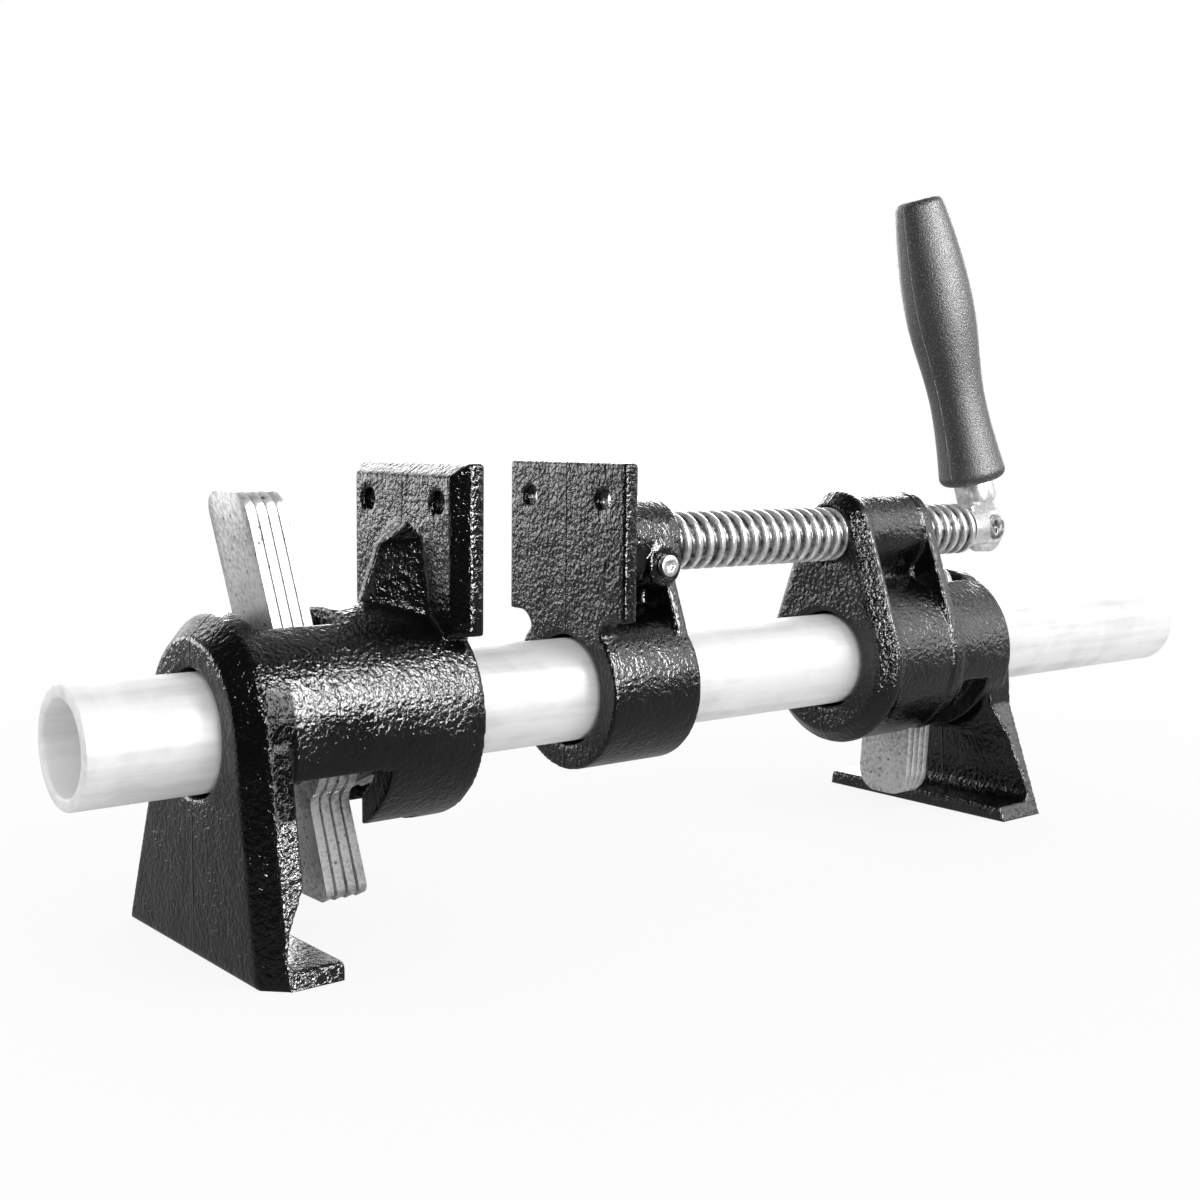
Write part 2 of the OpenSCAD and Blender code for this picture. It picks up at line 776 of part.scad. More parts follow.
// The drop with every side drawn in at 45 degrees, as wide as the plate at middle
module drop_taper(start, middle, end) {
    lean = asin((plate_low_r - plate_high_r) / spindle_rise);
    wider = middle - start;
    narrower = end - middle;
    side = plate_low_r - 2 * side_inset;
    cone(start, end, plate_low_r + wider, plate_low_r - narrower);
    translate([0, 0, spindle_rise])
        cone(start, end, plate_high_r + wider, plate_high_r - narrower);
    for (turned = [0, 1])
        mirror([0, turned, 0])
            rotate([lean, 0, 0])
                linear_extrude(spindle_rise * cos(lean))
                    polygon([[start, 0], [start, side + wider], [end, side - narrower], [end, 0]]);
}

module front_plate(start, end) {
    intersection() {
        drop_plate(start, end);
        drop_taper(start - over, end - front_bevel, end + over);
    }
}

module drop_plate(start, end) {
    front_solid(start, end)
        drop_outline();
}

module screw_body() {
    inside = screw_len - front_bevel;
    collar(screw_collar_r, screw_bevel, inside);
    leg(
        screw_collar_r, screw_bevel, screw_leg_t, screw_knee_t, screw_ankle_t,
        screw_taper_z, screw_knee_z, screw_foot_len, screw_foot_t, 1
    );
    front_plate(screw_len - front_plate_t, screw_len);
    drop_plate(rib_plate_near, rib_plate_near + rib_plate_t);
    translate([0, 0, spindle_rise])
        rod(rib_plate_near + over, inside, screw_boss_r);
    box(rib_plate_near + over, inside, screw_web_w, bore_r, spindle_rise);
}

module screw_chamber() {
    rod(-over, screw_len + over, bore_r);
    difference() {
        rod(screw_chamber_near, screw_chamber_end, chamber_r);
        box(
            bearing_near, bearing_near + bearing_t, chamber_r + over,
            -chamber_r, -screw_gap_z
        );
    }
}

module screw_openings() {
    low = 2 * screw_foot_t - pipe_z;
    wide = 2 * foot_half_w;
    box(screw_slot_near, rib_plate_near, slot_half_w, 0, screw_collar_r + over);
    box(screw_gap_near, screw_gap_mid, wide, low, -screw_gap_z);
    box(screw_gap_near, screw_gap_far, slot_half_w, low, -ear_slot_share * chamber_r);
}

module screw_head() {
    color([0.09, 0.09, 0.10])
        at_screw_head()
            difference() {
                screw_body();
                screw_chamber();
                screw_openings();
                translate([0, 0, spindle_rise])
                    rod(rib_plate_near - over, screw_len + over, spindle_r + running_room);
            }
}

module head_clutch_plate_1() {
    screw_plate(0);
}

module head_clutch_plate_2() {
    screw_plate(1);
}

module head_clutch_plate_3() {
    screw_plate(2);
}

module head_clutch_plate_4() {
    screw_plate(3);
}

module head_spring() {
    at_screw_head()
        coil(bearing_near + bearing_t, screw_chamber_end, screw_spring_turns);
}

// The sliding jaw and its screw

module slide_plate_front() {
    translate([-jaw_half_w, jaw_bottom_z])
        square([2 * jaw_half_w, jaw_top_z - jaw_bottom_z]);
    // A neck with straight sides, and a hollow quarter circle from it to the plate
    difference() {
        translate([-neck_half_w - jaw_corner_r, 0])
            square([2 * (neck_half_w + jaw_corner_r), jaw_bottom_z + over]);
        for (side = [-1, 1]) {
            translate([side * (neck_half_w + jaw_corner_r), jaw_bottom_z - jaw_corner_r])
                circle(jaw_corner_r);
            translate([side * (neck_half_w + jaw_corner_r) - jaw_corner_r, -over])
                square([2 * jaw_corner_r, jaw_bottom_z - jaw_corner_r + over]);
        }
    }
    circle(slide_ring_r);
}

module slide_rear_front() {
    polygon([
        [-rear_foot_w, slide_ring_r / 2],
        [rear_foot_w, slide_ring_r / 2],
        [rear_top_w, spindle_rise - slide_boss_r / 2],
        [-rear_top_w, spindle_rise - slide_boss_r / 2]
    ]);
}

module at_retaining_screw() {
    translate([slide_jaw_len - retain_back, 0, spindle_rise - retain_drop])
        rotate([90, 0, 0])
            children();
}

module sliding_jaw() {
    color([0.09, 0.09, 0.10])
        at_jaw()
            difference() {
                union() {
                    front_solid(0, slide_jaw_t)
                        slide_plate_front();
                    rod(0, slide_jaw_len, slide_ring_r);
                    translate([0, 0, spindle_rise])
                        rod(0, slide_jaw_len, slide_boss_r);
                    front_solid(slide_jaw_len - rear_wall_t, slide_jaw_len)
                        slide_rear_front();
                    box(0, slide_jaw_len, web_half_t, bore_r, spindle_rise);
                    at_retaining_screw()
                        cylinder(h = lug_reach, r = lug_r);
                }
                rod(-over, slide_jaw_len + over, bore_r);
                translate([0, 0, spindle_rise])
                    rod(nose_wall, slide_jaw_len + lug_r, nose_r + running_room);
                at_retaining_screw()
                    cylinder(
                        h = 3 * slide_boss_r, r = retain_r + pivot_room, center = true
                    );
                pad_holes(0, slide_jaw_t);
            }
}

module retaining_screw() {
    color([0.70, 0.71, 0.72])
        at_jaw()
            at_retaining_screw()
                difference() {
                    union() {
                        translate([0, 0, -slide_boss_r])
                            cylinder(h = slide_boss_r + lug_reach + over, r = retain_r);
                        translate([0, 0, lug_reach])
                            cylinder(h = retain_head_t, r = retain_head_r);
                    }
                    translate([0, 0, lug_reach + retain_head_t * recess_share])
                        cylinder(h = retain_head_t, r = retain_head_r * recess_share, $fn = 6);
                }
}

// The spindle, its pivot screw and the handle

// One ring of thread in the outline of the spindle: root, flank, crest, flank
function thread_ring(i) =
    let (
        start = thread_start + i * thread_pitch,
        rise = flank_share * thread_pitch,
        crest = crest_share * thread_pitch
    )
    [
        [root_r, start],
        [spindle_r, start + rise],
        [spindle_r, start + rise + crest],
        [root_r, start + 2 * rise + crest]
    ];

function thread_outline() = [
    for (i = [0 : thread_rings - 1])
        for (point = thread_ring(i))
            point
];

function spindle_outline() = concat(
    [
        [0, -nose_len],
        [nose_r, -nose_len],
        [nose_r, -retain_back - groove_half_w],
        [groove_r, -retain_back - groove_half_w],
        [groove_r, -retain_back + groove_half_w],
        [nose_r, -retain_back + groove_half_w],
        [nose_r, neck_end],
        [root_r, neck_end]
    ],
    thread_outline(),
    [
        [root_r, thread_end],
        [spindle_end_r, thread_end],
        [spindle_end_r, spindle_out - spindle_end_bevel],
        [spindle_end_r - spindle_end_bevel, spindle_out],
        [0, spindle_out]
    ]
);

module spindle() {
    color([0.74, 0.75, 0.76])
        at_spindle()
            difference() {
                rotate([0, 90, 0])
                    rotate_extrude()
                        polygon(spindle_outline());
                translate([slot_start, -slot_half_t, -spindle_r])
                    cube([spindle_end_len, 2 * slot_half_t, 2 * spindle_r]);
                translate([pivot_u, 0, 0])
                    rotate([90, 0, 0])
                        pivot_hole();
            }
}

module pivot_hole() {
    translate([0, 0, -spindle_r])
        cylinder(h = 2 * spindle_r, r = pivot_r + pivot_room);
    translate([0, 0, spindle_end_r - pivot_head_t - over])
        cylinder(h = spindle_end_r, r = pivot_head_r + pivot_room);
}

module handle_pivot_screw() {
    head_low = spindle_end_r - pivot_head_t - over;
    slot_w = pivot_head_r / 4;
    color([0.70, 0.71, 0.72])
        at_spindle()
            translate([pivot_u, 0, 0])
                rotate([90, 0, 0])
                    difference() {
                        union() {
                            translate([0, 0, over - spindle_end_r])
                                cylinder(h = spindle_end_r + head_low, r = pivot_r);
                            translate([0, 0, head_low])
                                cylinder(h = pivot_head_t, r = pivot_head_r);
                        }
                        for (turn = [0, 90])
                            rotate([0, 0, turn])
                                translate([-pivot_head_r / 2, -slot_w / 2, head_low + pivot_head_t / 2])
                                    cube([pivot_head_r, slot_w, pivot_head_t]);
                    }
}

module handle_shank() {
    color([0.74, 0.75, 0.76])
        at_handle()
            difference() {
                union() {
                    intersection() {
                        rotate([90, 0, 0])
                            cylinder(h = tongue_t, r = eye_r, center = true);
                        translate([0, 0, -eye_r])
                            cylinder(h = 2 * eye_r, r = eye_r);
                    }
                    translate([-eye_r + shoulder_bevel, -tongue_t / 2, 0])
                        cube([2 * (eye_r - shoulder_bevel), tongue_t, shoulder_len + over]);
                    translate([0, 0, shoulder_len])
                        cylinder(h = shoulder_bevel, r1 = shank_r - shoulder_bevel, r2 = shank_r);
                    translate([0, 0, shoulder_len + shoulder_bevel])
                        cylinder(h = grip_start - shoulder_len - shoulder_bevel, r = shank_r);
                    translate([0, 0, grip_start - over])
                        cylinder(h = tang_len + over, r = tang_r);
                }
                rotate([90, 0, 0])
                    cylinder(h = 2 * eye_r, r = pivot_r + pivot_room, center = true);
            }
}

// The grip's radius at a share of its length, without the rounded ends
function grip_side(share) =
    share < grip_waist_share
        ? grip_waist_r + (grip_flare_r - grip_waist_r)
            * pow(1 - share / grip_waist_share, flare_power)
    : share < grip_belly_share
        ? grip_waist_r + (grip_belly_r - grip_waist_r)
            * (1 - cos(180 * (share - grip_waist_share) / (grip_belly_share - grip_waist_share))) / 2
    : grip_belly_r - (grip_belly_r - grip_top_r)
        * pow((share - grip_belly_share) / (1 - grip_belly_share), top_power);

// A quarter circle of rounding: how far the side stands in at a distance from the end
function round_in(distance, round_r) =
    distance >= round_r ? 0 : round_r - sqrt(pow(round_r, 2) - pow(round_r - distance, 2));

function grip_radius(share) =
    grip_side(share)
        - round_in(share * grip_len, grip_flare_round)
        - round_in((1 - share) * grip_len, grip_top_round);

// Shares of the length, closer together near the two rounded ends
function grip_share(i) = (1 - cos(180 * i / grip_steps)) / 2;

module handle_grip() {
    color([0.20, 0.20, 0.21])
        at_handle()
            translate([0, 0, grip_start])
                difference() {
                    rotate_extrude()
                        polygon(concat(
                            [[0, 0]],
                            [
                                for (i = [0 : grip_steps])
                                    [grip_radius(grip_share(i)), grip_len * grip_share(i)]
                            ],
                            [[0, grip_len]]
                        ));
                    translate([0, 0, -over])
                        cylinder(h = tang_len + 2 * over, r = tang_r + pivot_room);
                }
}

module pipe() {
    color([0.78, 0.79, 0.80])
        translate([0, 0, pipe_z])
            difference() {
                rod(-pipe_len / 2, pipe_len / 2, pipe_r);
                rod(-pipe_len / 2 - over, pipe_len / 2 + over, pipe_r - pipe_wall);
            }
}

pipe();
tail_head();
tail_clutch_plate_1();
tail_clutch_plate_2();
tail_clutch_plate_3();
tail_clutch_plate_4();
tail_spring();
sliding_jaw();
retaining_screw();
spindle();
screw_head();
head_clutch_plate_1();
head_clutch_plate_2();
head_clutch_plate_3();
head_clutch_plate_4();
head_spring();
handle_pivot_screw();
handle_shank();
handle_grip();
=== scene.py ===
"""The looks of a woodworking pipe clamp: rough black castings, bright plated steel, dark grip."""

import math

import bpy
from mathutils import Matrix, Vector


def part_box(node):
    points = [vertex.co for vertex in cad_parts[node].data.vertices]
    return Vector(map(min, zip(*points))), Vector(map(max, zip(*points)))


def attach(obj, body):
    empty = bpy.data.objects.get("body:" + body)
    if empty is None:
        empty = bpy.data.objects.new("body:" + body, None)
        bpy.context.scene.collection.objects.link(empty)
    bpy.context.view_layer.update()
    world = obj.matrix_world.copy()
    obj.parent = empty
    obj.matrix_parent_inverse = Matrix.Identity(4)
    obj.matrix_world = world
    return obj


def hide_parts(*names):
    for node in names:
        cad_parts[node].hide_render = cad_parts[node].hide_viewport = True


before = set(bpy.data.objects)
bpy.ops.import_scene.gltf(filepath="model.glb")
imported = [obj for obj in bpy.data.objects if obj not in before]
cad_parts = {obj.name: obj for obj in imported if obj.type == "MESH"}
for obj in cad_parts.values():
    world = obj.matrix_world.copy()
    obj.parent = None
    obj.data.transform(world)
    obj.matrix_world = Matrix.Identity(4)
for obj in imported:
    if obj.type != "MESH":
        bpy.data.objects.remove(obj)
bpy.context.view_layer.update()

MM = 0.001

# Places and sizes read from the frame
PIPE_LOW, PIPE_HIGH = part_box("pipe")
PIPE_LENGTH = PIPE_HIGH[0] - PIPE_LOW[0]
PIPE_RADIUS = (PIPE_HIGH[2] - PIPE_LOW[2]) / 2
PIPE_Z = (PIPE_HIGH[2] + PIPE_LOW[2]) / 2
SPINDLE_LOW, SPINDLE_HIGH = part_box("spindle")
SPINDLE_Z = (SPINDLE_HIGH[2] + SPINDLE_LOW[2]) / 2
JAW_REAR_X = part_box("sliding_jaw")[1][0]
TAIL_LOW_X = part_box("tail_head")[0][0]

# Sizes that the solids have too
PIPE_WALL = 2.9 * MM
HANDLE_TURN = math.radians(4.65)
PLAIN_NECK = 1.5 * MM
THREAD_PITCH = 4.233 * MM
THREAD_TURNS = 31
THREAD_CREST = 7.95 * MM
THREAD_ROOT = 6.45 * MM
THREAD_LOW_X = JAW_REAR_X + PLAIN_NECK
THREAD_END_X = THREAD_LOW_X + THREAD_PITCH * THREAD_TURNS

# One flank of the thread: shares of the pitch along the axis, and of the thread's depth
THREAD_FLANK = ((0.24, 0.0), (0.28, 0.4), (0.32, 0.88), (0.36, 1.0))
THREAD_SIDES = 48

# Clutch plates in each head
PLATES = 4

# Where the paint has a grain of its own: the tail leg's near edge and the screw head's front bevel
TAIL_LEG_END_X = (TAIL_LOW_X + 11.5 * MM, TAIL_LOW_X + 12.5 * MM)
TAIL_LEG_KINK_Z = (33 * MM, 34.5 * MM)
NEAR_WAY = (0, -1, 0)
SCREW_HEAD_START_X = (30 * MM, 31 * MM)
FRONT_BEVEL_WAY = (-0.7, -0.7, 0.14)

# How the pieces are finished
MERGE_DISTANCE = 0.002 * MM
FLAT_ANGLE = math.radians(0.5)
SHARP_ANGLE = math.radians(40)
PIPE_END_ANGLE = math.radians(60)
SMOOTH_ANGLE = math.radians(35)
CASTING_VOXEL = 0.6 * MM
PIPE_EDGE = 0.5 * MM
STAMPED_EDGE = 0.34 * MM
TURNED_EDGE = 0.25 * MM
MACHINED_EDGE = 0.2 * MM

# The photograph's camera, fitted to the pipe's edges, the collars and the jaw faces
CAMERA_PLACE = Vector((-318.54, -316.97, 114.41)) * MM
CAMERA_TURN = math.radians(-39.611)
CAMERA_DIP = math.radians(5.868)
CAMERA_ROLL = math.radians(0.6335)
CAMERA_SENSOR = 36
CAMERA_LENS = 47.283
CAMERA_NEAR = 10 * MM
CAMERA_FAR = 20

# The room, and the ways from its middle that lie behind the clamp as the camera sees it
FLOOR_SIZE = 14
BEHIND_ON_FLOOR = (0.7, 0.7, 0)
BEHIND_AND_BELOW = (0.65, 0.65, -0.35)
LAMP_MIDDLE = Vector((-0.03, 0, 0.07))
LAMP_DISTANCE = 1.2

# Where most values of a noise lie
USUAL = (0.3, 0.7)

# The colour sockets of a mix node, which share their names with others
FIRST_COLOUR = 6
SECOND_COLOUR = 7
MIXED_COLOUR = 2


# Camera


def make_camera():
    data = bpy.data.cameras.new("photo_camera")
    camera = bpy.data.objects.new("photo_camera", data)
    bpy.context.scene.collection.objects.link(camera)
    camera.matrix_world = (
        Matrix.Translation(CAMERA_PLACE)
        @ Matrix.Rotation(CAMERA_TURN, 4, "Z")
        @ Matrix.Rotation(math.pi / 2 - CAMERA_DIP, 4, "X")
        @ Matrix.Rotation(CAMERA_ROLL, 4, "Z")
    )
    data.sensor_width = CAMERA_SENSOR
    data.lens = CAMERA_LENS
    data.clip_start = CAMERA_NEAR
    data.clip_end = CAMERA_FAR
    bpy.context.scene.camera = camera


# Node helpers


def new_material(name):
    material = bpy.data.materials.new(name)
    material.use_nodes = True
    tree = material.node_tree
    return material, tree, tree.nodes["Principled BSDF"]


def object_coordinates(tree, stretch=(1, 1, 1)):
    mapping = tree.nodes.new("ShaderNodeMapping")
    mapping.inputs["Scale"].default_value = stretch
    place = tree.nodes.new("ShaderNodeTexCoord")
    tree.links.new(place.outputs["Object"], mapping.inputs["Vector"])
    return mapping.outputs["Vector"]


def noise(tree, where, scale, detail=2.0, roughness=0.5, distortion=0.0):
    texture = tree.nodes.new("ShaderNodeTexNoise")
    texture.inputs["Scale"].default_value = scale
    texture.inputs["Detail"].default_value = detail
    texture.inputs["Roughness"].default_value = roughness
    texture.inputs["Distortion"].default_value = distortion
    tree.links.new(where, texture.inputs["Vector"])
    return texture.outputs["Fac"]


def cells(tree, where, scale):
    """How far each point lies from the middle of its cell."""
    texture = tree.nodes.new("ShaderNodeTexVoronoi")
    texture.inputs["Scale"].default_value = scale
    tree.links.new(where, texture.inputs["Vector"])
    return texture.outputs["Distance"]


def ramp(tree, value, within, low_colour, high_colour):
    """A colour between two, as the value goes from one end of a range to the other."""
    blend = tree.nodes.new("ShaderNodeValToRGB")
    ends = blend.color_ramp.elements
    for end, position, colour in zip(ends, within, (low_colour, high_colour)):
        end.position = position
        end.color = colour
    tree.links.new(value, blend.inputs["Fac"])
    return blend.outputs["Color"]


def spread(tree, value, within, to):
    """A number between two, as the value goes from one end of a range to the other."""
    node = tree.nodes.new("ShaderNodeMapRange")
    node.inputs["From Min"].default_value, node.inputs["From Max"].default_value = within
    node.inputs["To Min"].default_value, node.inputs["To Max"].default_value = to
    tree.links.new(value, node.inputs["Value"])
    return node.outputs["Result"]


def set_or_link(tree, value, socket):
    if isinstance(value, (int, float)):
        socket.default_value = value
    else:
        tree.links.new(value, socket)


def combine(tree, operation, first, second=0):
    node = tree.nodes.new("ShaderNodeMath")
    node.operation = operation
    set_or_link(tree, first, node.inputs[0])
    set_or_link(tree, second, node.inputs[1])
    return node.outputs["Value"]


def add(tree, first, second):
    return combine(tree, "ADD", first, second)


def multiply(tree, first, second):
    return combine(tree, "MULTIPLY", first, second)


def weighted(tree, first, second, share):
    """Two numbers put together, with that share of the first."""
    return add(tree, multiply(tree, first, share), multiply(tree, second, 1 - share))


def blended(tree, kind, first, second, share):
    """Two colours put together, by a share that is a number or a socket."""
    node = tree.nodes.new("ShaderNodeMix")
    node.data_type = "RGBA"
    node.blend_type = kind
    set_or_link(tree, share, node.inputs["Factor"])
    tree.links.new(first, node.inputs[FIRST_COLOUR])
    tree.links.new(second, node.inputs[SECOND_COLOUR])
    return node.outputs[MIXED_COLOUR]


def bump(tree, height, distance, strength=1.0, under=None):
    node = tree.nodes.new("ShaderNodeBump")
    node.inputs["Distance"].default_value = distance
    node.inputs["Strength"].default_value = strength
    tree.links.new(height, node.inputs["Height"])
    if under is not None:
        tree.links.new(under, node.inputs["Normal"])
    return node.outputs["Normal"]


def split(tree, where, part):
    node = tree.nodes.new("ShaderNodeSeparateXYZ")
    tree.links.new(where, node.inputs["Vector"])
    return node.outputs[part]


def along(tree, where, way):
    """How far a vector goes that way."""
    node = tree.nodes.new("ShaderNodeVectorMath")
    node.operation = "DOT_PRODUCT"
    node.inputs[1].default_value = way
    tree.links.new(where, node.inputs[0])
    return node.outputs["Value"]


def length_of(tree, where):
    node = tree.nodes.new("ShaderNodeVectorMath")
    node.operation = "LENGTH"
    tree.links.new(where, node.inputs[0])
    return node.outputs["Value"]


def facing(tree, way, within):
    """1 where the surface looks that way and 0 where it looks elsewhere."""
    surface = tree.nodes.new("ShaderNodeTexCoord").outputs["Normal"]
    return spread(tree, along(tree, surface, way), within, to=(0.0, 1.0))


def grey(level, tint=1.0):
    return (level, level, level * tint, 1)


# Black enamel


def leg_edge(tree, where):
    """Where the tail leg's near edge is: 1 on it and 0 on everything else."""
    on_leg = spread(tree, split(tree, where, "X"), TAIL_LEG_END_X, to=(1.0, 0.0))
    return multiply(tree, facing(tree, NEAR_WAY, within=(0.82, 0.92)), on_leg)


def edge_value(tree, where, usual, below, beside):
    """One value everywhere but on the leg's near edge, which has its own below and beside the collar."""
    change = (below - usual, beside - usual)
    own = spread(tree, split(tree, where, "Z"), TAIL_LEG_KINK_Z, to=change)
    return add(tree, usual, multiply(tree, leg_edge(tree, where), own))


def front_bevel(tree, where):
    """Where the screw head's front bevel is: 1 on it and 0 on everything else."""
    on_head = spread(tree, split(tree, where, "X"), SCREW_HEAD_START_X, to=(0.0, 1.0))
    return multiply(tree, facing(tree, FRONT_BEVEL_WAY, within=(0.86, 0.95)), on_head)


def mould_ridge(tree, where):
    """1 on the low ridge where the two halves of the casting's mould met, and 0 beside it."""
    from_middle = combine(tree, "ABSOLUTE", split(tree, where, "Y"))
    return spread(tree, from_middle, within=(0.15 * MM, 0.55 * MM), to=(1.0, 0.0))


def black_enamel():
    """Glossy black paint over rough cast iron: fine wrinkles on long shallow waves."""
    material, tree, shader = new_material("black_enamel")
    where = object_coordinates(tree)
    wrinkles = noise(tree, where, scale=820, distortion=0.3)
    patches = noise(tree, where, scale=60, detail=3.0)
    waves = noise(tree, where, scale=110, detail=1.0)
    uneven = multiply(tree, wrinkles, spread(tree, patches, USUAL, to=(0.6, 1.3)))
    bevel_extra = 1.3
    coarser = multiply(tree, front_bevel(tree, where), bevel_extra)
    coarseness = add(tree, coarser, edge_value(tree, where, usual=1.0, below=2.4, beside=0.9))
    normal = bump(tree, waves, distance=0.8 * MM, strength=0.5)
    normal = bump(tree, multiply(tree, uneven, coarseness), distance=0.36 * MM, under=normal)
    normal = bump(tree, mould_ridge(tree, where), distance=0.15 * MM, strength=0.8, under=normal)
    tree.links.new(normal, shader.inputs["Normal"])
    tree.links.new(spread(tree, patches, USUAL, to=(0.1, 0.2)), shader.inputs["Roughness"])
    gloss = edge_value(tree, where, usual=0.55, below=1.0, beside=0.1)
    tree.links.new(gloss, shader.inputs["Specular IOR Level"])
    shader.inputs["Base Color"].default_value = grey(0.003)
    return material


# Plated and bare steel


def plated_tube():
    """Bright zinc on drawn tube: long faint marks along it and a few cloudy patches."""
    material, tree, shader = new_material("bright_zinc")
    drawn = object_coordinates(tree, stretch=(0.04, 1, 1))
    marks = noise(tree, drawn, scale=260, detail=4.0, roughness=0.6)
    where = object_coordinates(tree)
    clouds = noise(tree, where, scale=45, detail=5.0, roughness=0.6, distortion=0.6)
    mixed = weighted(tree, marks, clouds, share=0.5)
    cloudy, clear = grey(0.7, 1.01), grey(0.94)
    colour = ramp(tree, mixed, (0.36, 0.55), cloudy, clear)
    tree.links.new(colour, shader.inputs["Base Color"])
    tree.links.new(spread(tree, mixed, USUAL, to=(0.6, 0.48)), shader.inputs["Roughness"])
    tree.links.new(bump(tree, marks, distance=0.04 * MM, strength=0.6), shader.inputs["Normal"])
    shader.inputs["Metallic"].default_value = 0.05
    return material


def plated_sheet():
    """Zinc-plated stampings: fine mottle on the faces, small dark pits."""
    material, tree, shader = new_material("zinc_plates")
    where = object_coordinates(tree)
    mottle = noise(tree, where, scale=900, detail=3.0, roughness=0.6)
    clouds = noise(tree, where, scale=50)
    mixed = weighted(tree, mottle, clouds, share=0.6)
    dull, bright = grey(0.32, 1.01), grey(0.64, 1.01)
    colour = ramp(tree, mixed, (0.4, 0.56), dull, bright)
    pits = ramp(tree, cells(tree, where, scale=330), (0.08, 0.2), grey(0.1), grey(1.0))
    colour = blended(tree, "MULTIPLY", colour, pits, share=0.85)
    tree.links.new(colour, shader.inputs["Base Color"])
    tree.links.new(spread(tree, mottle, USUAL, to=(0.44, 0.28)), shader.inputs["Roughness"])
    tree.links.new(bump(tree, mottle, distance=0.05 * MM, strength=0.7), shader.inputs["Normal"])
    shader.inputs["Metallic"].default_value = 0.6
    return material


def painted_root_shade(tree, where):
    """Where painted shade darkens the thread: 1 in the roots of the thread and on the neck before it, 0
    on its crests and past its end.
    """
    across = combine(tree, "POWER", split(tree, where, "Y"), 2)
    above = combine(tree, "SUBTRACT", split(tree, where, "Z"), SPINDLE_Z)
    above = combine(tree, "POWER", above, 2)
    from_axis = combine(tree, "SQRT", add(tree, across, above))
    flank_margin = 0.3 * MM
    flank = (THREAD_ROOT + flank_margin, THREAD_CREST - flank_margin)
    in_root = spread(tree, from_axis, flank, to=(1.0, 0.0))
    end_margin = 0.2 * MM
    end = (THREAD_END_X - end_margin, THREAD_END_X + end_margin)
    before_end = spread(tree, split(tree, where, "X"), end, to=(1.0, 0.0))
    return multiply(tree, in_root, before_end)


def plated_bar():
    """Turned and rolled steel with bright plating, with painted shade darkening the roots of the thread.
    """
    material, tree, shader = new_material("zinc_spindle")
    turned = object_coordinates(tree, stretch=(1, 0.25, 0.25))
    lines = noise(tree, turned, scale=900)
    where = object_coordinates(tree)
    blotches = noise(tree, where, scale=420, detail=4.0, roughness=0.7)
    plating_colour = ramp(tree, blotches, (0.38, 0.55), grey(0.42), grey(0.76, 1.01))
    # Painted shade: a dark colour laid into the thread's roots and the neck before it, standing in for
    # their shadow
    root_shade_colour = ramp(tree, blotches, (0.4, 0.56), grey(0.04), grey(0.3))
    colour = blended(tree, "MULTIPLY", plating_colour, root_shade_colour, painted_root_shade(tree, where))
    tree.links.new(colour, shader.inputs["Base Color"])
    roughness = spread(tree, blotches, within=(0.35, 0.65), to=(0.42, 0.22))
    tree.links.new(roughness, shader.inputs["Roughness"])
    tree.links.new(bump(tree, lines, distance=0.06 * MM, strength=0.5), shader.inputs["Normal"])
    shader.inputs["Metallic"].default_value = 0.55
    return material


def bare_steel(name, scale, dark, bright, roughness, grain=None):
    """Steel with fine marks in its colour and gloss, and in its surface where it has a grain."""
    material, tree, shader = new_material(name)
    marks = noise(tree, object_coordinates(tree), scale, detail=3.0)
    colour = ramp(tree, marks, (0.35, 0.65), grey(dark), grey(bright, 1.01))
    tree.links.new(colour, shader.inputs["Base Color"])
    tree.links.new(spread(tree, marks, USUAL, roughness), shader.inputs["Roughness"])
    if grain is not None:
        tree.links.new(bump(tree, marks, distance=grain, strength=0.5), shader.inputs["Normal"])
    shader.inputs["Metallic"].default_value = 1.0
    return material


def screw_steel(name, dark, bright):
    return bare_steel(name, 700, dark, bright, roughness=(0.4, 0.25), grain=0.05 * MM)


def spring_wire():
    return bare_steel("spring_steel", 500, dark=0.28, bright=0.5, roughness=(0.45, 0.3))


# Grip plastic


def mould_groove(tree, where):
    """0 where the grip's mould closed and 1 beside it.

    It closed on the plane through the spindle's and the handle's axes.
    """
    across = (0, math.cos(HANDLE_TURN), -math.sin(HANDLE_TURN))
    from_plane = add(tree, along(tree, where, across), SPINDLE_Z * math.sin(HANDLE_TURN))
    from_plane = combine(tree, "ABSOLUTE", from_plane)
    return spread(tree, from_plane, within=(0.05 * MM, 0.25 * MM), to=(0.0, 1.0))


def grip_plastic():
    """Dark grey moulded plastic: fine grain, pale specks and a thin line where the mould closed."""
    material, tree, shader = new_material("grip_plastic")
    where = object_coordinates(tree)
    grain = noise(tree, where, scale=2000, roughness=0.6)
    specks = noise(tree, where, scale=2200, detail=1.0)
    clouds = noise(tree, where, scale=90, detail=3.0)
    base = ramp(tree, clouds, USUAL, grey(0.018), grey(0.026, 1.03))
    pale = ramp(tree, specks, (0.6, 0.7), grey(0.0), grey(0.14))
    tree.links.new(blended(tree, "ADD", base, pale, share=1.0), shader.inputs["Base Color"])
    tree.links.new(spread(tree, grain, USUAL, to=(0.36, 0.5)), shader.inputs["Roughness"])
    normal = bump(tree, mould_groove(tree, where), distance=0.35 * MM)
    normal = bump(tree, grain, distance=0.2 * MM, under=normal)
    tree.links.new(normal, shader.inputs["Normal"])
    shader.inputs["Specular IOR Level"].default_value = 0.9
    return material


# Modelling helpers


def deselect_all():
    bpy.ops.object.select_all(action="DESELECT")


def make_active(piece):
    deselect_all()
    piece.select_set(True)
    bpy.context.view_layer.objects.active = piece


def in_edit_mode(piece, *steps):
    make_active(piece)
    bpy.ops.object.mode_set(mode="EDIT")
    for step in steps:
        bpy.ops.mesh.select_all(action="SELECT")
        step()
    bpy.ops.object.mode_set(mode="OBJECT")


